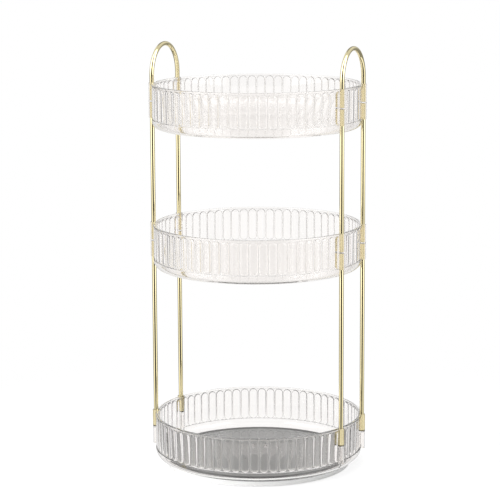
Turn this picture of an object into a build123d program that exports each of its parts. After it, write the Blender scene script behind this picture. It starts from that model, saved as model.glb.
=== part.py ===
from build123d import *
from math import asin, cos, degrees, radians, sin
import os

os.makedirs("parts", exist_ok=True)

# Three clear fluted trays stand one above the other on thin rods, and turn together on a low ball-bearing base.
# Lengths are in millimetres, +Z is up, the origin is on the table under the middle of the base.
# +X points through the middle of the right hoop, and the front is the -Y side.

# Trays
tray_radius = 115.0
tray_height = 48.5
tray_wall = 3.0
tray_floor = 2.0
tray_corner = 7.5
tray_inside_corner = 5.5
rim_band = 2.2

# Flutes of the tray wall: shallow half-round ribs between the rim band and the rounded foot
flute_count = 70
flute_depth = 1.2
flute_setback = 0.3
flute_foot = 10.4

# Distance from rim to rim, from the bottom tray to the middle one and on to the top one
lower_tier = 214.0
upper_tier = 154.3

# Rods, hoops and the sockets that hold them
rod_radius = 2.5
rod_end_chamfer = 0.5
rod_offset = 0.8
rod_fit = 0.12
hoop_half_width = 33.2
hoop_shoulder = 7.0
socket_wall = 1.1
socket_depth = 19.8
socket_web = 1.5
socket_foot = 9.6

# White dish that stands on the table
base_foot_radius = 100.0
base_flare = 5.8
base_wall = 3.2
base_floor = 1.8
base_lip_rounding = 1.1

# Rubber pads, let into the underside of the dish
foot_count = 6
foot_inset = 14.0
foot_radius = 7.0
foot_thickness = 1.6
foot_recess = 0.6
foot_fit = 0.1

# Ball bearing between dish and turntable plate
ball_count = 12
ball_circle = 70.0
ball_radius = 2.0
ball_clearance = 0.25
pocket_clearance = 0.2
track_seat = 0.35
track_width = 9.5
groove_cover = 1.35
retainer_width = 11.0
retainer_thickness = 1.4
retainer_gap = 0.4

# Turntable plate, staked under the bottom tray, with a thin rim that covers the dish
plate_clearance = 4.6
plate_thickness = 2.1
plate_rim_thickness = 0.6
plate_rim_overhang = 0.2
plate_rim_gap = 0.4
stake_count = 4
stake_offset = 28.0
stake_radius = 2.0
stake_fit = 0.1

# Centre pivot: a post on the dish, with a screw and washer that hold the plate down
hub_radius = 12.0
hub_floor = 1.1
hub_gap = 0.3
hub_recess_radius = 7.2
post_radius = 8.0
spigot_radius = 3.5
spigot_fit = 0.08
washer_radius = 6.5
washer_thickness = 0.5
washer_lift = 0.15
screw_head_radius = 3.4
screw_head_height = 1.1
screw_head_room = 0.25
screw_radius = 1.5
screw_length = 5.4
screw_fit = 0.05
pilot_room = 0.3

# How far a cutting shape reaches past the face it cuts
overrun = 1.0

# Heights above the table that follow from the sizes above
base_bottom = foot_thickness - foot_recess
base_floor_top = base_bottom + base_floor
ball_reach = ball_radius + ball_clearance
ball_height = base_floor_top + track_seat + ball_reach
track_top = ball_height - retainer_thickness / 2 - retainer_gap
rib_bottom = ball_height + retainer_thickness / 2 + retainer_gap
bottom_level = ball_height + ball_reach + groove_cover
middle_level = bottom_level + lower_tier
top_level = middle_level + upper_tier
plate_bottom = bottom_level - plate_thickness
plate_rim_bottom = bottom_level - plate_rim_thickness
base_lip = plate_rim_bottom - plate_rim_gap
screw_recess = washer_lift + washer_thickness + screw_head_height + screw_head_room
recess_floor = bottom_level - screw_recess
hub_bottom = recess_floor - hub_floor
post_top = hub_bottom - hub_gap
spigot_top = recess_floor + washer_lift
washer_top = spigot_top + washer_thickness
screw_tip = washer_top - screw_length

# Radii of the base and the plate
base_lip_radius = base_foot_radius + base_flare
base_foot_inside = base_foot_radius - base_wall
base_lip_inside = base_lip_radius - base_wall
foot_circle = base_foot_radius - foot_inset
plate_radius = base_lip_inside - plate_clearance
plate_rim_radius = base_lip_radius + plate_rim_overhang
stake_circle = hub_radius + stake_offset

# Heights within a tray, from its underside
web_top = tray_height - socket_depth
web_bottom = web_top - socket_web
flute_top = tray_height - rim_band

# Rods stand in pairs, one pair on each side, at the two legs of a hoop
rod_circle = tray_radius + rod_offset
bore_radius = rod_radius + rod_fit
socket_radius = bore_radius + socket_wall
rod_angle = degrees(asin(hoop_half_width / rod_circle))
hoop_plane = rod_circle * cos(radians(rod_angle))
rod_places = {
    "right_front": (hoop_plane, -hoop_half_width),
    "right_rear": (hoop_plane, hoop_half_width),
    "left_front": (-hoop_plane, -hoop_half_width),
    "left_rear": (-hoop_plane, hoop_half_width),
}


def save(piece, name):
    piece.label = name
    export_step(piece, f"parts/{name}.step")


def around(radius, angle):
    """Point at a radius and an angle, in radians, round the turning axis."""
    return (radius * cos(angle), radius * sin(angle))


def flute_sleeve(height):
    """Ring that is taken off the outside of a plain wall: its inside has one arc for each flute."""
    crest = tray_radius - flute_setback
    crease = crest - flute_depth
    pitch = radians(360 / flute_count)
    with BuildSketch(Plane.XY.offset(height)) as sleeve:
        Circle(tray_radius + overrun)
        with BuildLine():
            for flute in range(flute_count):
                start = flute * pitch
                ThreePointArc(
                    around(crease, start),
                    around(crest, start + pitch / 2),
                    around(crease, start + pitch),
                )
        make_face(mode=Mode.SUBTRACT)
    return sleeve.sketch


def rod_circles(height, radius):
    """One circle at each rod's place, on a level plane."""
    with BuildSketch(Plane.XY.offset(height)) as circles:
        with Locations(*rod_places.values()):
            Circle(radius)
    return circles.sketch


def make_tray(level, stakes=False):
    """Round tray with a fluted wall and four sockets, each bored from both ends up to a web."""
    inside_radius = tray_radius - tray_wall
    with BuildPart() as tray:
        with BuildSketch(Plane((0, 0, level), x_dir=(1, 0, 0), z_dir=(0, -1, 0))):
            with BuildLine():
                FilletPolyline(
                    (0, 0),
                    (tray_radius, 0),
                    (tray_radius, tray_height),
                    (inside_radius, tray_height),
                    (inside_radius, tray_floor),
                    (0, tray_floor),
                    radius=[tray_corner, 0, 0, tray_inside_corner],
                )
                Line((0, tray_floor), (0, 0))
            make_face()
        revolve(axis=Axis.Z)
        extrude(flute_sleeve(level + flute_foot), amount=flute_top - flute_foot, mode=Mode.SUBTRACT)
        extrude(rod_circles(level + socket_foot, socket_radius), amount=tray_height - socket_foot)
        extrude(rod_circles(level + web_top, bore_radius), amount=socket_depth, mode=Mode.SUBTRACT)
        extrude(rod_circles(level, bore_radius), amount=web_bottom, mode=Mode.SUBTRACT)
        if stakes:
            with BuildSketch(Plane.XY.offset(level)):
                with PolarLocations(stake_circle, stake_count):
                    Circle(stake_radius)
            extrude(amount=-plate_thickness)
    return tray.part


def make_rod(place, bottom, top):
    """Straight rod with chamfered ends."""
    with BuildPart() as rod:
        with BuildSketch(Plane.XY.offset(bottom)):
            with Locations(place):
                Circle(rod_radius)
        extrude(amount=top - bottom)
        chamfer(rod.edges().filter_by(GeomType.CIRCLE), rod_end_chamfer)
    return rod.part


def make_hoop(plane_x):
    """Rod bent to an upside-down U, with its two legs in the sockets of the top tray."""
    leg_end = top_level + web_top
    spring = top_level + tray_height + hoop_shoulder
    with BuildPart() as hoop:
        with BuildLine(Plane.YZ.offset(plane_x)):
            Line((-hoop_half_width, leg_end), (-hoop_half_width, spring))
            ThreePointArc((-hoop_half_width, spring), (0, spring + hoop_half_width), (hoop_half_width, spring))
            Line((hoop_half_width, spring), (hoop_half_width, leg_end))
        with BuildSketch(Plane.XY.offset(leg_end)):
            with Locations((plane_x, -hoop_half_width)):
                Circle(rod_radius)
        sweep()
        chamfer(hoop.edges().group_by(Axis.Z)[0], rod_end_chamfer)
    return hoop.part


def ball_channel():
    """Ring-shaped channel that the balls run in, a little wider and higher than a ball."""
    with BuildSketch(Plane.XY.offset(ball_height)) as channel:
        Circle(ball_circle + ball_reach)
        Circle(ball_circle - ball_reach, mode=Mode.SUBTRACT)
    return channel.sketch


# Trays
save(make_tray(bottom_level, stakes=True), "bottom_tray")
save(make_tray(middle_level), "middle_tray")
save(make_tray(top_level), "top_tray")

# Rods between the trays, from web to web, and the two hoops
for corner, place in rod_places.items():
    save(make_rod(place, bottom_level + web_top, middle_level + web_bottom), f"lower_rod_{corner}")
    save(make_rod(place, middle_level + web_top, top_level + web_bottom), f"upper_rod_{corner}")
save(make_hoop(hoop_plane), "right_hoop")
save(make_hoop(-hoop_plane), "left_hoop")

# Base dish: flared wall, raised ball track, centre post with a spigot, and recesses for the pads
with BuildPart() as base_dish:
    with BuildSketch(Plane.XZ):
        with BuildLine():
            FilletPolyline(
                (0, base_bottom),
                (base_foot_radius, base_bottom),
                (base_lip_radius, base_lip),
                (base_lip_inside, base_lip),
                (base_foot_inside, base_floor_top),
                (0, base_floor_top),
                radius=[0, base_lip_rounding, base_lip_rounding, 0],
            )
            Line((0, base_floor_top), (0, base_bottom))
        make_face()
    revolve(axis=Axis.Z)
    with BuildSketch(Plane.XY.offset(base_floor_top)):
        Circle(ball_circle + track_width / 2)
        Circle(ball_circle - track_width / 2, mode=Mode.SUBTRACT)
    extrude(amount=track_top - base_floor_top)
    extrude(ball_channel(), amount=ball_reach, both=True, mode=Mode.SUBTRACT)
    with BuildSketch(Plane.XY.offset(base_floor_top)):
        Circle(post_radius)
    extrude(amount=post_top - base_floor_top)
    with BuildSketch(Plane.XY.offset(post_top)):
        Circle(spigot_radius)
    extrude(amount=spigot_top - post_top)
    with BuildSketch(Plane.XY.offset(spigot_top)):
        Circle(screw_radius + screw_fit)
    extrude(amount=screw_tip - pilot_room - spigot_top, mode=Mode.SUBTRACT)
    with BuildSketch(Plane.XY.offset(base_bottom)):
        with PolarLocations(foot_circle, foot_count):
            Circle(foot_radius + foot_fit)
    extrude(amount=foot_recess, mode=Mode.SUBTRACT)
save(base_dish.part, "base_dish")

with BuildPart() as base_feet:
    with BuildSketch():
        with PolarLocations(foot_circle, foot_count):
            Circle(foot_radius)
    extrude(amount=foot_thickness)
save(base_feet.part, "base_feet")

# Ball bearing
with BuildPart(Plane.XY.offset(ball_height)) as bearing_balls:
    with PolarLocations(ball_circle, ball_count):
        Sphere(ball_radius)
save(bearing_balls.part, "bearing_balls")

with BuildPart() as ball_retainer:
    with BuildSketch(Plane.XY.offset(ball_height)):
        Circle(ball_circle + retainer_width / 2)
        Circle(ball_circle - retainer_width / 2, mode=Mode.SUBTRACT)
        with PolarLocations(ball_circle, ball_count):
            Circle(ball_radius + pocket_clearance, mode=Mode.SUBTRACT)
    extrude(amount=retainer_thickness / 2, both=True)
save(ball_retainer.part, "ball_retainer")

# Turntable plate: thin rim, upper ball track, hub with a recess for the screw, and holes for the tray's stakes
with BuildPart() as turntable_plate:
    with BuildSketch(Plane.XY.offset(plate_bottom)):
        Circle(plate_radius)
    extrude(amount=plate_thickness)
    with BuildSketch(Plane.XY.offset(plate_rim_bottom)):
        Circle(plate_rim_radius)
    extrude(amount=plate_rim_thickness)
    with BuildSketch(Plane.XY.offset(rib_bottom)):
        Circle(ball_circle + track_width / 2)
        Circle(ball_circle - track_width / 2, mode=Mode.SUBTRACT)
    extrude(amount=plate_bottom - rib_bottom)
    extrude(ball_channel(), amount=ball_reach, both=True, mode=Mode.SUBTRACT)
    with BuildSketch(Plane.XY.offset(hub_bottom)):
        Circle(hub_radius)
    extrude(amount=plate_bottom - hub_bottom)
    with BuildSketch(Plane.XY.offset(bottom_level)):
        Circle(hub_recess_radius)
    extrude(amount=-screw_recess, mode=Mode.SUBTRACT)
    with BuildSketch(Plane.XY.offset(hub_bottom)):
        Circle(spigot_radius + spigot_fit)
    extrude(amount=hub_floor, mode=Mode.SUBTRACT)
    with BuildSketch(Plane.XY.offset(plate_bottom)):
        with PolarLocations(stake_circle, stake_count):
            Circle(stake_radius + stake_fit)
    extrude(amount=plate_thickness, mode=Mode.SUBTRACT)
save(turntable_plate.part, "turntable_plate")

# Pivot screw and washer
with BuildPart() as pivot_washer:
    with BuildSketch(Plane.XY.offset(spigot_top)):
        Circle(washer_radius)
        Circle(screw_radius + screw_fit, mode=Mode.SUBTRACT)
    extrude(amount=washer_thickness)
save(pivot_washer.part, "pivot_washer")

with BuildPart() as pivot_screw:
    with BuildSketch(Plane.XY.offset(washer_top)):
        Circle(screw_head_radius)
    extrude(amount=screw_head_height)
    chamfer(pivot_screw.edges().group_by(Axis.Z)[-1], screw_head_height / 2)
    with BuildSketch(Plane.XY.offset(washer_top)):
        Circle(screw_radius)
    extrude(amount=-screw_length)
save(pivot_screw.part, "pivot_screw")
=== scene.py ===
# %% [markdown]
# A rotating makeup organizer: three clear fluted trays on slim gold rods, over a low white base.
# The imported model is the fixed frame. Everything below is dressed around it, in metres, and nothing in it
# is moved. Before any dressing we keep the frame's own box.

# %% Load the frame
from math import cos, degrees, hypot, pi, radians, sin, sqrt, tau

import bmesh
import bpy
from mathutils import Matrix, Vector


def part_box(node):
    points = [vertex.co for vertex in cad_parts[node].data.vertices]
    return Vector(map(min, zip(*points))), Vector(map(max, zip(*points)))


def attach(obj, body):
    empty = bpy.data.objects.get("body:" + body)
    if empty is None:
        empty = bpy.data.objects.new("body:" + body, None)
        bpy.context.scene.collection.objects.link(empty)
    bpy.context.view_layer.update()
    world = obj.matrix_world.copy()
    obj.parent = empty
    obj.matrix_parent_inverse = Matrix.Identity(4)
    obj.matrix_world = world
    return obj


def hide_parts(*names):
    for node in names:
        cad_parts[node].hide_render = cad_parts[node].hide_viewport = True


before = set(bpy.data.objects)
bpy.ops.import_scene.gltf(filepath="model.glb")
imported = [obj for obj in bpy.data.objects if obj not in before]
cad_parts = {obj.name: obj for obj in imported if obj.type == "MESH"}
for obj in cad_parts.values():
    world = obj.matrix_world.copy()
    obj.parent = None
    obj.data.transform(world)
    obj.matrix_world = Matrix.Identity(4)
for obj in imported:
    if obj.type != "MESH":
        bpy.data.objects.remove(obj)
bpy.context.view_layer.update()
scene = bpy.context.scene
mm = 0.001

# %% [markdown]
# The camera stands where the photographer stood: about two metres away, a little above the top tray, with a
# long lens that keeps the rods almost parallel. Blender's camera looks along its own -Z axis with +Y up, so
# we build those axes from a heading, a tilt and a small roll, and put them in a matrix. That is clearer than
# guessing three angles.

# %% Camera
camera_place = Vector((836.5, -1995.5, 629.9)) * mm
camera_heading = radians(22.968)
camera_tilt = radians(-10.187)
camera_roll = radians(-0.279)
picture_width = 500
focal_length_in_pixels = 1990.8
film_width = 36

ahead_on_the_level = Vector((-sin(camera_heading), cos(camera_heading), 0))
ahead = cos(camera_tilt) * ahead_on_the_level + sin(camera_tilt) * Vector((0, 0, 1))
level = Vector((cos(camera_heading), sin(camera_heading), 0))
upward = level.cross(ahead)
right = cos(camera_roll) * level + sin(camera_roll) * upward
above = cos(camera_roll) * upward - sin(camera_roll) * level

lens = bpy.data.cameras.new("long_lens")
lens.sensor_width = film_width
lens.lens = focal_length_in_pixels / picture_width * film_width
camera = bpy.data.objects.new("camera", lens)
scene.collection.objects.link(camera)
camera_turn = Matrix((right, above, -ahead)).transposed().to_4x4()
camera.matrix_world = Matrix.Translation(camera_place) @ camera_turn
scene.camera = camera
print(f"lens {lens.lens:.1f} mm, camera {camera_place.length:.2f} m from the foot of the turning axis")

# %% [markdown]
# Materials are small node graphs. These helpers keep each graph short: one adds a node and sets its inputs,
# one starts a material with its shader, and the others make the patterns that several finishes share.
# Patterns are read from object coordinates, in metres, so a pattern keeps its real size on every piece.

# %% Helpers that add nodes
def add_node(tree, kind, settings=(), **inputs):
    """Adds a shader node. Settings are its properties. Inputs go by name, or by number as i0, i1, i2."""
    made = tree.nodes.new("ShaderNode" + kind)
    for name, value in dict(settings).items():
        setattr(made, name, value)
    for name, value in inputs.items():
        key = int(name[1:]) if name[0] == "i" and name[1:].isdigit() else name.replace("_", " ")
        socket = made.inputs[key]
        if isinstance(value, bpy.types.NodeSocket):
            tree.links.new(value, socket)
        else:
            socket.default_value = value
    return made


def math_node(tree, operation, first, second=0.0):
    return add_node(tree, "Math", {"operation": operation}, i0=first, i1=second).outputs[0]


def is_near(tree, value, target, reach):
    """1 where the value is within reach of the target, 0 elsewhere."""
    return add_node(tree, "Math", {"operation": "COMPARE"}, i0=value, i1=target, i2=reach).outputs[0]


def mix_values(tree, share, first, second):
    return add_node(tree, "Mix", i0=share, i2=first, i3=second).outputs[0]


def smooth_rise(tree, value, start, end):
    """0 up to start, 1 from end on, and a soft rise between them."""
    settings = {"interpolation_type": "SMOOTHSTEP"}
    return add_node(tree, "MapRange", settings, i0=value, i1=start, i2=end).outputs[0]


print("helpers for nodes are ready")

# %% Helpers for patterns and materials
def object_place(tree):
    return add_node(tree, "TexCoord").outputs["Object"]


def from_axis(tree):
    """Distance from the turning axis."""
    split = add_node(tree, "SeparateXYZ", i0=object_place(tree)).outputs
    flat = add_node(tree, "CombineXYZ", i0=split[0], i1=split[1]).outputs[0]
    return add_node(tree, "VectorMath", {"operation": "LENGTH"}, i0=flat).outputs["Value"]


def grain(tree, size, stretch=(1, 1, 1)):
    """Soft noise whose cells are about size metres wide, or longer where stretch is small."""
    scaled = add_node(tree, "Mapping", i0=object_place(tree), Scale=stretch).outputs[0]
    return add_node(tree, "TexNoise", Vector=scaled, Scale=1 / size, Detail=3.0).outputs[0]


def between(tree, value, low, high):
    """Turns a 0 to 1 pattern into a number between low and high."""
    return add_node(tree, "MapRange", i0=value, i3=low, i4=high).outputs[0]


def tint(tree, value, low, high):
    """Turns a 0 to 1 pattern into a colour between low and high."""
    return add_node(tree, "Mix", {"data_type": "RGBA"}, i0=value, i6=(*low, 1), i7=(*high, 1)).outputs[2]


def new_material(name):
    """A material with a bare Principled shader that is wired to the output."""
    material = bpy.data.materials.new(name)
    material.use_nodes = True
    shader = material.node_tree.nodes["Principled BSDF"]
    return material, material.node_tree, shader


def set_bump(tree, shader, height, distance):
    normal = add_node(tree, "Bump", Height=height, Distance=distance, Strength=1.0).outputs[0]
    tree.links.new(normal, shader.inputs["Normal"])


print("helpers for patterns are ready")

# %% [markdown]
# Every tray is the same moulding, so one mesh serves all three. Its wall carries 70 rounded ribs with arched
# ends, between a plain rim band and a rounded foot. A boolean cut could make them one by one, but a grid is
# cleaner: rows run from the middle of the underside out, up the wall, over the rim and down to the middle of
# the floor, and each row has the same columns over every rib. The columns draw together towards a rib's end,
# so the arches have smooth outlines.

# %% Sizes of a tray
tray_low, tray_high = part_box("top_tray")
tray_radius = tray_high.x
tray_height = tray_high.z - tray_low.z
tray_wall = 3.0 * mm
tray_floor = 2.0 * mm
tray_corner = 9.0 * mm
tray_inside_corner = 7.0 * mm
rim_band = 2.2 * mm
rim_rounding = 0.8 * mm
edge_rounding = 0.3 * mm
rib_count = 70
rib_height = 1.6 * mm
rib_setback = 0.3 * mm
rib_foot = 10.4 * mm
rib_arch = 4.2 * mm
rib_width_share = 0.93
# The underside lies a hair's breadth lower than in the frame, so that no film of air shows over the plate.
underside = -0.05 * mm
rib_top = tray_height - rim_band
recess_radius = tray_radius - rib_setback - rib_height
inside_radius = tray_radius - tray_wall
print(f"tray {2 * tray_radius / mm:.1f} mm across and {tray_height / mm:.1f} mm high")

# %% Rows over the ribs
quarter_turn = pi / 2
steps_over_rib = 10
steps_in_arch = 6
narrowest_share = 0.08
rib_columns = [sin((step / steps_over_rib - 0.5) * pi) for step in range(steps_over_rib + 1)]
arch_rows = [sin(step * quarter_turn / steps_in_arch) for step in range(steps_in_arch + 1)]
plain_columns = [rib_width_share * column for column in rib_columns] + [1]


def plain_row(radius, height):
    """One ring of points at a constant radius, on the same columns as the straight part of the ribs."""
    return [(radius, share, height) for share in plain_columns]


def rib_row(height, into_arch):
    """One ring over the ribs. into_arch is 0 on the straight part and 1 at the tip of the arch."""
    open_share = sqrt(1 - into_arch ** 2)
    width_share = rib_width_share * max(open_share, narrowest_share)
    swell = rib_height * open_share
    ring = [(recess_radius + swell * sqrt(1 - c * c), width_share * c, height) for c in rib_columns]
    return ring + [(recess_radius, 1, height)]


print(len(rib_columns), "columns over a rib and", len(arch_rows), "rows in an arch")

# %% Rows from the underside to the floor
corner_steps = 10
edge_steps = 3
rim_steps = 4
inside_steps = 8


def rounding_rows(centre, radius, start, end, steps):
    """Rows round an edge: a circular arc in the section of the tray, from one angle to another."""
    angles = [start + (end - start) * step / steps for step in range(steps + 1)]
    return [plain_row(centre[0] + radius * cos(a), centre[1] + radius * sin(a)) for a in angles]


def tray_rows():
    corner = (tray_radius - tray_corner, tray_corner + underside)
    foot_edge = (tray_radius - edge_rounding, rib_foot - edge_rounding)
    band_edge = (tray_radius - edge_rounding, rib_top + edge_rounding)
    rim_outside = (tray_radius - rim_rounding, tray_height - rim_rounding)
    rim_inside = (inside_radius + rim_rounding, tray_height - rim_rounding)
    inside_corner = (inside_radius - tray_inside_corner, tray_floor + tray_inside_corner)
    rows = [plain_row(tray_radius / 2, underside)]
    rows += rounding_rows(corner, tray_corner, -quarter_turn, 0, corner_steps)
    rows += rounding_rows(foot_edge, edge_rounding, 0, quarter_turn, edge_steps)
    rows += [rib_row(rib_foot + rib_arch * (1 - a), a) for a in reversed(arch_rows)]
    rows += [rib_row(rib_top - rib_arch * (1 - a), a) for a in arch_rows]
    rows += rounding_rows(band_edge, edge_rounding, -quarter_turn, 0, edge_steps)
    rows += rounding_rows(rim_outside, rim_rounding, 0, quarter_turn, rim_steps)
    rows += rounding_rows(rim_inside, rim_rounding, quarter_turn, pi, rim_steps)
    rows += rounding_rows(inside_corner, tray_inside_corner, 0, -quarter_turn, inside_steps)
    return rows + [plain_row(tray_radius / 2, tray_floor)]


print(len(tray_rows()), "rows of", rib_count * len(plain_columns), "columns")

# %% [markdown]
# The grid becomes a closed mesh: quads between neighbouring rows, and a fan of triangles round the middle of
# the underside and of the floor. The rods, the sleeves and the floor of the studio are rings of points too,
# so the same helpers serve them.

# %% Helpers for meshes
def mesh_from(name, vertices, faces):
    mesh = bpy.data.meshes.new(name)
    mesh.from_pydata(vertices, [], faces)
    mesh.validate()
    return mesh


def strip_faces(rows, columns):
    """Quads between neighbouring rings of points, which are stored one ring after another."""
    faces = []
    for row in range(rows - 1):
        for column in range(columns):
            after = (column + 1) % columns
            faces.append((row * columns + column, row * columns + after,
                          (row + 1) * columns + after, (row + 1) * columns + column))
    return faces


def close_ends(vertices, faces, rows, columns, bottom, top):
    """Fans that close the first and the last ring, each round one middle point."""
    vertices += [bottom, top]
    low, high = len(vertices) - 2, len(vertices) - 1
    last = (rows - 1) * columns
    for column in range(columns):
        after = (column + 1) % columns
        faces.append((low, after, column))
        faces.append((high, last + column, last + after))


def lathe(name, profile, columns, place=(0, 0)):
    """A closed turned form. The profile lists (radius, height) from the bottom to the top."""
    vertices = []
    for radius, height in profile:
        for column in range(columns):
            angle = tau * column / columns
            vertices.append((place[0] + radius * cos(angle), place[1] + radius * sin(angle), height))
    faces = strip_faces(len(profile), columns)
    bottom = (*place, profile[0][1])
    top = (*place, profile[-1][1])
    close_ends(vertices, faces, len(profile), columns, bottom, top)
    return mesh_from(name, vertices, faces)


print("helpers for meshes are ready")

# %% Plain tray
def tray_mesh():
    rows = tray_rows()
    pitch = tau / rib_count
    vertices = []
    for row in rows:
        for rib in range(rib_count):
            for radius, share, height in row:
                angle = (rib + 0.5 + share / 2) * pitch
                vertices.append((radius * cos(angle), radius * sin(angle), height))
    columns = rib_count * len(plain_columns)
    faces = strip_faces(len(rows), columns)
    close_ends(vertices, faces, len(rows), columns, (0, 0, underside), (0, 0, tray_floor))
    return mesh_from("tray", vertices, faces)


plain_tray = tray_mesh()
print("tray mesh:", len(plain_tray.vertices), "points")

# %% [markdown]
# Four sleeves on the outside of the wall hold the rods. Each is bored from above and from below, up to a
# thin web in the middle that both rods stand against. Here a boolean is the right tool: the sleeves are
# joined to the wall, then the bores are cut. The manifold solver keeps the dense wall untouched away from
# the cut. The fit of a bore shows. With a film of air round it a rod looks thin in a clear sleeve, as in
# the two upper trays. Without air its gold fills the sleeve, as in the bottom tray, which grips its rods.

# %% Sizes of the sleeves
rod_low, rod_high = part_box("lower_rod_right_rear")
rod_radius = (rod_high.x - rod_low.x) / 2
rod_x = (rod_low.x + rod_high.x) / 2
rod_y = (rod_low.y + rod_high.y) / 2
rod_places = [(side * rod_x, end * rod_y) for side in (1, -1) for end in (1, -1)]
rod_room = 0.12 * mm
rod_grip = 0.02 * mm
sleeve_wall = 1.1 * mm
sleeve_foot = 9.6 * mm
sleeve_rounding = 0.5 * mm
socket_depth = 19.8 * mm
socket_web = 1.5 * mm
cut_past = 2.0 * mm
bore_radius = rod_radius + rod_room
grip_radius = rod_radius - rod_grip
sleeve_radius = bore_radius + sleeve_wall
web_top = tray_height - socket_depth
web_bottom = web_top - socket_web
bore_end = tray_height + cut_past
print(f"rods {2 * rod_radius / mm:.1f} mm thick in sleeves {2 * sleeve_radius / mm:.2f} mm thick")

# %% Helpers for sleeves and bores
pin_sides = 40
pin_rounding_steps = 4
pin_turns = [step * quarter_turn / pin_rounding_steps for step in range(pin_rounding_steps + 1)]


def rounded_pin(radius, bottom, top, rounding):
    """Profile of a pin with rounded ends."""
    core = radius - rounding
    low = [(core + rounding * sin(t), bottom + rounding - rounding * cos(t)) for t in pin_turns]
    high = [(core + rounding * cos(t), top - rounding + rounding * sin(t)) for t in pin_turns]
    return low + high


def one_at_each_place(name, profile, places):
    """The same turned form at several places, as one mesh."""
    together = bmesh.new()
    for place in places:
        together.from_mesh(lathe(name, profile, pin_sides, place))
    mesh = bpy.data.meshes.new(name)
    together.to_mesh(mesh)
    together.free()
    return mesh


def with_boolean(mesh, tool_mesh, operation):
    """The mesh joined with, or cut by, another closed mesh."""
    target = bpy.data.objects.new("target", mesh)
    tool = bpy.data.objects.new("tool", tool_mesh)
    for helper in (target, tool):
        scene.collection.objects.link(helper)
    change = target.modifiers.new("change", "BOOLEAN")
    change.operation = operation
    change.object = tool
    change.solver = "MANIFOLD"
    evaluated = target.evaluated_get(bpy.context.evaluated_depsgraph_get())
    changed = bpy.data.meshes.new_from_object(evaluated)
    for helper in (target, tool):
        bpy.data.objects.remove(helper)
    return changed


print("pins have", pin_sides, "sides")

# %% Sleeves and bores
def bored(mesh, radius, bottom, top):
    """The mesh with the same straight bore at the four rods."""
    bores = one_at_each_place("bores", [(radius, bottom), (radius, top)], rod_places)
    return with_boolean(mesh, bores, "DIFFERENCE")


sleeve_profile = rounded_pin(sleeve_radius, sleeve_foot, tray_height, sleeve_rounding)
sleeves = one_at_each_place("sleeves", sleeve_profile, rod_places)
sleeved_tray = with_boolean(plain_tray, sleeves, "UNION")
bored_below = bored(sleeved_tray, bore_radius, -cut_past, web_bottom)
roomy_tray = bored(bored_below, bore_radius, web_top, bore_end)
gripping_tray = bored(bored_below, grip_radius, web_top, bore_end)
print("tray with sockets:", len(roomy_tray.vertices), "points")

# %% [markdown]
# The trays are moulded from clear acrylic. The real plastic is almost colourless, with a refractive index of
# 1.49, so it is seen only by what its surfaces bend and mirror. One physically based shader with full
# transmission does that. A faint, slow waviness stands for the flow of the plastic in the mould. The polish
# doesn't reach the bottom of the grooves between the ribs, so they are frosted: a line that repeats with the
# ribs raises the roughness there. Shadows would turn black under plain glass, so shadow rays see a clear
# material in its place.

# %% Frosted grooves
groove_rough = 0.5
groove_share = 0.03
groove_reach = 0.7 * mm
upright_limit = 0.2


def groove_lines(tree):
    """1 along the bottom of each groove between two ribs, 0 elsewhere."""
    split = add_node(tree, "SeparateXYZ", i0=object_place(tree)).outputs
    turn = math_node(tree, "MULTIPLY", math_node(tree, "ARCTAN2", split[1], split[0]), rib_count / tau)
    off_groove = math_node(tree, "PINGPONG", turn, 0.5)
    fade = {"i1": groove_share, "i2": 2 * groove_share, "i3": 1.0, "i4": 0.0}
    narrow = add_node(tree, "MapRange", i0=off_groove, **fade).outputs[0]
    near = is_near(tree, from_axis(tree), recess_radius, groove_reach)
    normal = add_node(tree, "NewGeometry").outputs["Normal"]
    facing_up = add_node(tree, "SeparateXYZ", i0=normal).outputs[2]
    upright = is_near(tree, facing_up, 0.0, upright_limit)
    return math_node(tree, "MULTIPLY", narrow, math_node(tree, "MULTIPLY", near, upright))


print("a groove is frosted over", round(4 * groove_share * 100), "% of the ribs' pitch")

# %% Clear acrylic
acrylic_colour = (0.998, 0.98, 0.966, 1)
acrylic_shadow = (0.96, 0.97, 0.97, 1)
acrylic_index = 1.49
polish_rough = 0.03
polish_patch = 9 * mm
flow_wave = 16 * mm
flow_stretch = (1, 1, 0.4)
flow_depth = 0.04 * mm


def make_clear_acrylic():
    material, tree, shader = new_material("clear_acrylic")
    shader.inputs["Base Color"].default_value = acrylic_colour
    shader.inputs["Transmission Weight"].default_value = 1
    shader.inputs["IOR"].default_value = acrylic_index
    polished = between(tree, grain(tree, polish_patch), 0.0, polish_rough)
    frosted = math_node(tree, "MULTIPLY", groove_lines(tree), groove_rough)
    tree.links.new(math_node(tree, "MAXIMUM", polished, frosted), shader.inputs["Roughness"])
    set_bump(tree, shader, grain(tree, flow_wave, flow_stretch), flow_depth)
    shadow_ray = add_node(tree, "LightPath").outputs["Is Shadow Ray"]
    clear = add_node(tree, "BsdfTransparent", Color=acrylic_shadow).outputs[0]
    mixed = add_node(tree, "MixShader", i0=shadow_ray, i1=shader.outputs[0], i2=clear).outputs[0]
    tree.links.new(mixed, tree.nodes["Material Output"].inputs["Surface"])
    return material


clear_acrylic = make_clear_acrylic()
print("made", clear_acrylic.name)

# %% [markdown]
# A finished mesh becomes a piece: an object with its finish, that rides on a body of the frame and stands for
# a node, which it hides. All pieces go through this one function. Smooth shading with sharp edges by angle
# keeps the rims and the ribs crisp.

# %% Pieces
sharp_from = radians(38)


def add_piece(name, mesh, finish, body, node):
    mesh.name = name
    mesh.materials.clear()
    mesh.materials.append(finish)
    mesh.shade_smooth()
    mesh.set_sharp_from_angle(angle=sharp_from)
    piece = bpy.data.objects.new(name, mesh)
    scene.collection.objects.link(piece)
    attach(piece, body)
    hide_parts(node)
    return piece


print("edges sharper than", round(degrees(sharp_from)), "degrees stay crisp")

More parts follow.
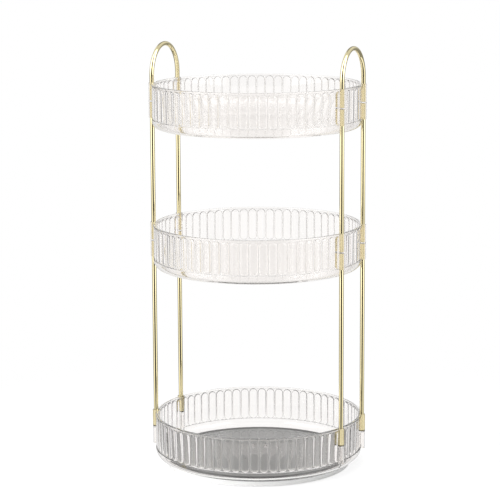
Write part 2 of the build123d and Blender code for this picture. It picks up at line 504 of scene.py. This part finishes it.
# %% [markdown]
# The trays hang at three levels, which the frame gives. The bottom one also has four short stakes on its
# underside, which go through the plate below and hold it. They are joined to the moulding, because they are
# one piece with it.

# %% Three trays
stake_count = 4
stake_radius = 2.0 * mm
stake_circle = 40.0 * mm
stake_length = 2.1 * mm
stake_root = 1.0 * mm
stake_rounding = 0.3 * mm


def tray_at(node, mesh):
    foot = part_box(node)[1].z - tray_height
    raised = mesh.copy()
    raised.transform(Matrix.Translation((0, 0, foot)))
    return add_piece("clear_" + node, raised, clear_acrylic, "carousel", node)


stake_angles = [tau * stake / stake_count for stake in range(stake_count)]
stake_places = [(stake_circle * cos(angle), stake_circle * sin(angle)) for angle in stake_angles]
stake_profile = rounded_pin(stake_radius, -stake_length, stake_root, stake_rounding)
stakes = one_at_each_place("stakes", stake_profile, stake_places)
staked_tray = with_boolean(gripping_tray, stakes, "UNION")
tray_forms = {"bottom_tray": staked_tray, "middle_tray": roomy_tray, "top_tray": roomy_tray}
for tray_node, tray_form in tray_forms.items():
    tray = tray_at(tray_node, tray_form)
    print(tray.name, len(tray.data.polygons), "faces")

# %% [markdown]
# All opaque finishes share one recipe: a colour that drifts a little, patches of more and less gloss, and
# fine marks in the surface. The rods are thin metal tubes with a pale gold plating, a mirror with a warm
# tint. Drawing the tube through a die leaves faint lines along it, so its gloss and its marks are stretched
# along the rod. The lower rods have a short, dark metal finish at their feet.

# %% Gold plating and the dark feet of the rods
def make_finish(name, dark, light, rough, mark_size, mark_depth, tint_size=25 * mm, gloss_size=12 * mm,
                stretch=(1, 1, 1), metallic=0, specular=0.5):
    """An opaque finish between two colours and two roughnesses, with fine marks. Sizes are in metres."""
    material, tree, shader = new_material(name)
    shader.inputs["Metallic"].default_value = metallic
    shader.inputs["Specular IOR Level"].default_value = specular
    tree.links.new(tint(tree, grain(tree, tint_size), dark, light), shader.inputs["Base Color"])
    tree.links.new(between(tree, grain(tree, gloss_size, stretch), *rough), shader.inputs["Roughness"])
    set_bump(tree, shader, grain(tree, mark_size, stretch), mark_depth)
    return material


gold = make_finish("gold_plating", dark=(0.82, 0.72, 0.42), light=(0.88, 0.79, 0.5), rough=(0.03, 0.1),
                   mark_size=0.5 * mm, mark_depth=0.01 * mm, tint_size=6 * mm, gloss_size=0.5 * mm,
                   stretch=(1, 1, 0.02), metallic=1)
# A dark metal finish for the feet of the lower rods.
dark_foot_finish = make_finish("dark_rod_foot", dark=(0.07, 0.06, 0.04), light=(0.13, 0.11, 0.07),
                         rough=(0.35, 0.55), mark_size=0.4 * mm, mark_depth=0.01 * mm, tint_size=1 * mm,
                         gloss_size=0.5 * mm, metallic=1)
print("made", gold.name, "and", dark_foot_finish.name)

# %% [markdown]
# Each rod is a turned pin with rounded ends, from the frame's own box. One more ring of points, a little
# above the foot, keeps the smooth shading of the rounded foot from running up the long straight part. On the
# lower rods the faces below that ring take the second material.

# %% Rods
rod_sides = 48
rod_end_rounding = 0.5 * mm
dark_foot_length = 1.4 * mm


def add_rod(tier, side, end):
    node = f"{tier}_rod_{side}_{end}"
    low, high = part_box(node)
    place = ((low.x + high.x) / 2, (low.y + high.y) / 2)
    profile = rounded_pin(rod_radius, low.z, high.z, rod_end_rounding)
    gold_from = low.z + dark_foot_length
    profile.insert(len(profile) // 2, (rod_radius, gold_from))
    mesh = lathe(node, profile, rod_sides, place)
    rod = add_piece("gold_" + node, mesh, gold, "carousel", node)
    if tier == "lower":
        mesh.materials.append(dark_foot_finish)
        for face in mesh.polygons:
            face.material_index = int(face.center.z < gold_from)
    return rod


for tier in ("lower", "upper"):
    rods = [add_rod(tier, side, end) for side in ("right", "left") for end in ("front", "rear")]
    print(tier, "rods:", len(rods))

# %% [markdown]
# Each hoop is the same tube bent to an upside-down U. A curve with a bevel would do, but its ends are flat.
# We sweep a ring of points along the legs and the half circle instead, and draw the ring in at both ends to
# round them.

# %% Hoops
bend_steps = 48


def hoop_path(low, high):
    """Points (y, z) of the bent tube in its own plane, each with the turn so far and the ring's radius."""
    half_width = (high.y - low.y) / 2 - rod_radius
    spring = high.z - rod_radius - half_width
    rounding = rod_end_rounding
    ends = [(rounding * (1 - cos(t)), rod_radius - rounding * (1 - sin(t))) for t in pin_turns]
    rising = [(-half_width, low.z + lift, 0.0, radius) for lift, radius in ends]
    bends = [pi * step / bend_steps for step in range(bend_steps + 1)]
    bend = [(-half_width * cos(b), spring + half_width * sin(b), b, rod_radius) for b in bends]
    falling = [(half_width, low.z + lift, pi, radius) for lift, radius in reversed(ends)]
    return rising + bend + falling


def hoop_mesh(node):
    low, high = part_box(node)
    middle = (low.x + high.x) / 2
    path = hoop_path(low, high)
    vertices = []
    for y, z, turned, radius in path:
        for side in range(rod_sides):
            angle = tau * side / rod_sides
            aside = radius * cos(angle)
            outward = -radius * sin(angle)
            vertices.append((middle + aside, y + outward * cos(turned), z - outward * sin(turned)))
    faces = strip_faces(len(path), rod_sides)
    start = (middle, *path[0][:2])
    end = (middle, *path[-1][:2])
    close_ends(vertices, faces, len(path), rod_sides, start, end)
    return mesh_from(node, vertices, [tuple(reversed(face)) for face in faces])


for hoop_node in ("right_hoop", "left_hoop"):
    hoop = add_piece("gold_" + hoop_node, hoop_mesh(hoop_node), gold, "carousel", hoop_node)
    print(hoop.name, len(hoop.data.polygons), "faces")

# %% [markdown]
# The base has several plastics, and their marks are the faint orange-peel of a moulded surface. The dish is
# white. The retainer of the balls is natural nylon, and the pads are rubber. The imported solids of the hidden
# parts already have the right shape, so they stay and only get a finish.

# %% Plastics and rubber
def finish_node(node, material):
    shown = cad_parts[node]
    for holder in shown.material_slots:
        holder.material = material


white_plastic = make_finish("white_plastic", dark=(0.86, 0.86, 0.85), light=(0.9, 0.9, 0.89),
                            rough=(0.35, 0.5), mark_size=1.2 * mm, mark_depth=0.01 * mm, specular=0.15)
nylon = make_finish("natural_nylon", dark=(0.7, 0.69, 0.65), light=(0.76, 0.75, 0.71),
                    rough=(0.45, 0.6), mark_size=0.8 * mm, mark_depth=0.02 * mm)
rubber = make_finish("foot_rubber", dark=(0.05, 0.05, 0.05), light=(0.09, 0.09, 0.09),
                     rough=(0.7, 0.85), mark_size=0.4 * mm, mark_depth=0.05 * mm)
finish_node("ball_retainer", nylon)
finish_node("base_feet", rubber)
print("made", white_plastic.name, "and finished the retainer and the pads")

# %% [markdown]
# The plate that turns on the base is grey. Its rim is painted nearly black: painted shade that stands in for
# the shadow in the gap between the bottom tray and the base, and shows as the dark ring under the bottom tray.
# The distance from the turning axis blends from the grey to the painted shade.

# %% Grey plate with painted shade at its rim
painted_rim_shade_start = 97.0 * mm
painted_rim_shade_full = 100.0 * mm
painted_rim_shade_colour = (0.08, 0.08, 0.08, 1)


def make_plate_with_painted_rim_shade():
    material = make_finish("plate_plastic", dark=(0.42, 0.42, 0.42), light=(0.47, 0.47, 0.47),
                           rough=(0.6, 0.75), mark_size=0.7 * mm, mark_depth=0.03 * mm, specular=0.1)
    tree = material.node_tree
    base_colour = tree.nodes["Principled BSDF"].inputs["Base Color"]
    grey = base_colour.links[0].from_socket
    # Painted shade: the rim turns nearly black to stand in for the shadow in the gap between the bottom tray
    # and the base.
    rim = smooth_rise(tree, from_axis(tree), painted_rim_shade_start, painted_rim_shade_full)
    mixed = add_node(tree, "Mix", {"data_type": "RGBA"}, i0=rim, i6=grey, i7=painted_rim_shade_colour).outputs[2]
    tree.links.new(mixed, base_colour)
    return material


plate_plastic = make_plate_with_painted_rim_shade()
finish_node("turntable_plate", plate_plastic)
print("made", plate_plastic.name)

# %% [markdown]
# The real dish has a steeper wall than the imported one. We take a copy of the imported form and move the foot
# of its wall out, less and less towards the lip, so the lip and everything inside the wall stay. The copy
# also carries the normals of the old wall, which would shade the new one wrongly, so they are dropped.

# %% Base dish
dish_wall_from = 95.0 * mm
dish_foot_widening = 2.2 * mm
weld_within = 0.001 * mm


def wider_dish():
    """The dish's own form, with the foot of its wall moved out, so that the wall stands steeper."""
    shaped = bmesh.new()
    shaped.from_mesh(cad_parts["base_dish"].data)
    bmesh.ops.remove_doubles(shaped, verts=shaped.verts, dist=weld_within)
    wall = [point for point in shaped.verts if hypot(point.co.x, point.co.y) > dish_wall_from]
    lip = max(point.co.z for point in wall)
    foot = min(point.co.z for point in wall)
    for point in wall:
        outward = dish_foot_widening * (lip - point.co.z) / (lip - foot)
        point.co.xy *= 1 + outward / hypot(point.co.x, point.co.y)
    mesh = bpy.data.meshes.new("base_dish")
    shaped.to_mesh(mesh)
    shaped.free()
    if mesh.has_custom_normals:
        mesh.attributes.remove(mesh.attributes["custom_normal"])
    return mesh


dish = add_piece("white_base_dish", wider_dish(), white_plastic, "base", "base_dish")
print(dish.name, len(dish.data.polygons), "faces")

# %% [markdown]
# The balls, the screw and the washer are bright steel. They are hidden in the base, but anyone who takes
# the part apart sees them, so they get a ground finish: small clouds in the colour, and a fine grain in
# the gloss.

# %% Bearing steel
bearing_steel = make_finish("bearing_steel", dark=(0.56, 0.57, 0.59), light=(0.68, 0.69, 0.7),
                            rough=(0.12, 0.28), mark_size=0.3 * mm, mark_depth=0.004 * mm,
                            tint_size=2 * mm, gloss_size=0.4 * mm, metallic=1)
for steel_node in ("bearing_balls", "pivot_screw", "pivot_washer"):
    finish_node(steel_node, bearing_steel)
print("finished the balls, the screw and the washer")

# %% [markdown]
# Clear plastic and polished metal have hardly a colour of their own: they show what stands round them. So
# the studio is drawn as two rings of brightness, in degrees from straight behind the object. The metal
# mirrors a white backdrop, dark walls beside it, bright softboxes left and right, and the dark place of the
# photographer, which gives each rod the thin dark line along its middle. The plastic is seen against white
# on all sides, with two narrow dark strips left and two right, like black cards in a studio, which draw the
# edges of the ribs. Both rings also change with height, behind the object and beside it. The camera itself
# sees only white, and all other light is an even, soft white.

# %% Brightness of the studio
ambient = 0.8
plain_white = 1.0
ring_in_metal = [(0, 1.0), (10, 0.85), (20, 0.32), (86, 0.27), (103, 1.35), (139, 1.35), (150, 0.02)]
ring_through_plastic = [(42, 1.0), (48, 0.28), (57, 0.28), (63, 1.0),
                        (117, 1.0), (123, 0.28), (132, 0.28), (138, 0.95)]
heights_in_metal = [(-4, 1.0), (10, 1.0), (14, 0.35), (45, 0.35), (75, 0.7)]
heights_through_plastic = [(4, 1.0), (15, 0.75), (40, 0.8), (70, 0.9)]
heights_beside_metal = [(-8, 1.0), (10, 2.1), (24, 2.8)]
heights_beside_plastic = [(-8, 1.0), (24, 1.0)]
backdrop_middle = radians(12)
backdrop_edge = radians(28)


def brightness_ramp(tree, value, stops):
    """Turns a 0 to 1 value into the brightness that is written at the stops, as (position, brightness)."""
    ramp = add_node(tree, "ValToRGB", i0=value)
    marks = ramp.color_ramp.elements
    while len(marks) < len(stops):
        marks.new(1.0)
    for mark, (position, brightness) in zip(marks, stops):
        mark.position = position
        mark.color = (brightness, brightness, brightness, 1)
    return ramp.outputs[0]


def height_ramp(tree, rise, heights):
    """Brightness by degrees above the horizon. rise is 0 straight below and 1 straight above."""
    return brightness_ramp(tree, rise, [((sin(radians(a)) + 1) / 2, b) for a, b in heights])


def studio_light(tree, direction, ring, heights, heights_beside):
    """Brightness round the object. The ring runs from 0 degrees behind it to 180 at the camera."""
    azimuth = math_node(tree, "ARCTAN2", direction[1], direction[0])
    from_behind = math_node(tree, "SUBTRACT", azimuth, quarter_turn + camera_heading)
    angle = math_node(tree, "ARCCOSINE", math_node(tree, "COSINE", from_behind))
    around = brightness_ramp(tree, math_node(tree, "DIVIDE", angle, pi), [(a / 180, b) for a, b in ring])
    rise = add_node(tree, "MapRange", i0=direction[2], i1=-1.0, i2=1.0).outputs[0]
    behind = height_ramp(tree, rise, heights)
    at_sides = height_ramp(tree, rise, heights_beside)
    beside = smooth_rise(tree, angle, backdrop_middle, backdrop_edge)
    return math_node(tree, "MULTIPLY", around, mix_values(tree, beside, behind, at_sides))


print("rings of light with", len(ring_in_metal), "and", len(ring_through_plastic), "stops")

# %% Studio world
bounces_in_plastic = 32


def make_world():
    world = bpy.data.worlds.new("studio")
    scene.world = world
    world.use_nodes = True
    world.cycles.sampling_method = "NONE"
    tree = world.node_tree
    direction = add_node(tree, "SeparateXYZ", i0=add_node(tree, "TexCoord").outputs["Generated"]).outputs
    path = add_node(tree, "LightPath").outputs
    in_metal = studio_light(tree, direction, ring_in_metal, heights_in_metal, heights_beside_metal)
    through_plastic = studio_light(tree, direction, ring_through_plastic, heights_through_plastic,
                                   heights_beside_plastic)
    seen = mix_values(tree, path["Is Glossy Ray"], ambient, in_metal)
    seen = mix_values(tree, path["Is Transmission Ray"], seen, through_plastic)
    seen = mix_values(tree, path["Is Camera Ray"], seen, plain_white)
    background = tree.nodes["Background"]
    background.inputs["Color"].default_value = (1, 1, 1, 1)
    tree.links.new(seen, background.inputs["Strength"])


make_world()
scene.view_settings.view_transform = "Standard"
scene.cycles.max_bounces = bounces_in_plastic
scene.cycles.glossy_bounces = bounces_in_plastic
scene.cycles.transmission_bounces = bounces_in_plastic
scene.cycles.transparent_max_bounces = bounces_in_plastic
print("light may bounce", bounces_in_plastic, "times in the plastic")

# %% [markdown]
# The floor is a wide pale disc. The camera sees it as white, but it keeps a soft shadow under the base:
# part of its brightness is its own and part is reflected light, so where the base takes light away the
# floor turns grey. It fades out towards its edge, so that no line shows against the world. Metal and
# plastic see the world in its place.

# %% Floor
floor_radius = 0.5
floor_solid_to = 0.2
floor_thickness = 2 * mm
floor_sides = 128
floor_glow = 0.82
paper_colour = (0.9, 0.9, 0.9, 1)
seen_paper_colour = (0.25, 0.25, 0.25, 1)


def make_floor_paper():
    material, tree, shader = new_material("pale_floor")
    tree.nodes.remove(shader)
    paper = add_node(tree, "BsdfDiffuse", Color=paper_colour).outputs[0]
    seen_paper = add_node(tree, "BsdfDiffuse", Color=seen_paper_colour).outputs[0]
    glow = add_node(tree, "Emission", Strength=floor_glow).outputs[0]
    seen = add_node(tree, "AddShader", i0=seen_paper, i1=glow).outputs[0]
    camera_ray = add_node(tree, "LightPath").outputs["Is Camera Ray"]
    mixed = add_node(tree, "MixShader", i0=camera_ray, i1=paper, i2=seen).outputs[0]
    distance = add_node(tree, "VectorMath", {"operation": "LENGTH"}, i0=object_place(tree)).outputs["Value"]
    fade = smooth_rise(tree, distance, floor_solid_to, floor_radius)
    open_air = add_node(tree, "BsdfTransparent").outputs[0]
    faded = add_node(tree, "MixShader", i0=fade, i1=mixed, i2=open_air).outputs[0]
    tree.links.new(faded, tree.nodes["Material Output"].inputs["Surface"])
    return material


floor_mesh = lathe("floor", [(floor_radius, -floor_thickness), (floor_radius, 0.0)], floor_sides)
floor_mesh.materials.append(make_floor_paper())
floor = bpy.data.objects.new("floor", floor_mesh)
scene.collection.objects.link(floor)
floor.visible_glossy = False
floor.visible_transmission = False
print("floor is", 2 * floor_radius, "m across")

# %% [markdown]
# One large softbox at the left, in front and above, gives the white base its light and shade, and throws a
# faint shadow to the right. The metal and the plastic don't show this lamp, because the rings above already
# draw the softboxes for them.

# %% Softbox
softbox_place = Vector((-0.95, -1.45, 0.9))
softbox_aim = Vector((0, 0, 0.2))
softbox_size = 1.0
softbox_power = 26

softbox = bpy.data.lights.new("key", "AREA")
softbox.shape = "SQUARE"
softbox.size = softbox_size
softbox.energy = softbox_power
lamp = bpy.data.objects.new("key", softbox)
scene.collection.objects.link(lamp)
lamp.location = softbox_place
lamp.rotation_euler = (softbox_aim - softbox_place).to_track_quat("-Z", "Y").to_euler()
lamp.visible_glossy = False
lamp.visible_transmission = False
print(f"softbox {softbox_size:.1f} m wide, {softbox_place.length:.2f} m away")
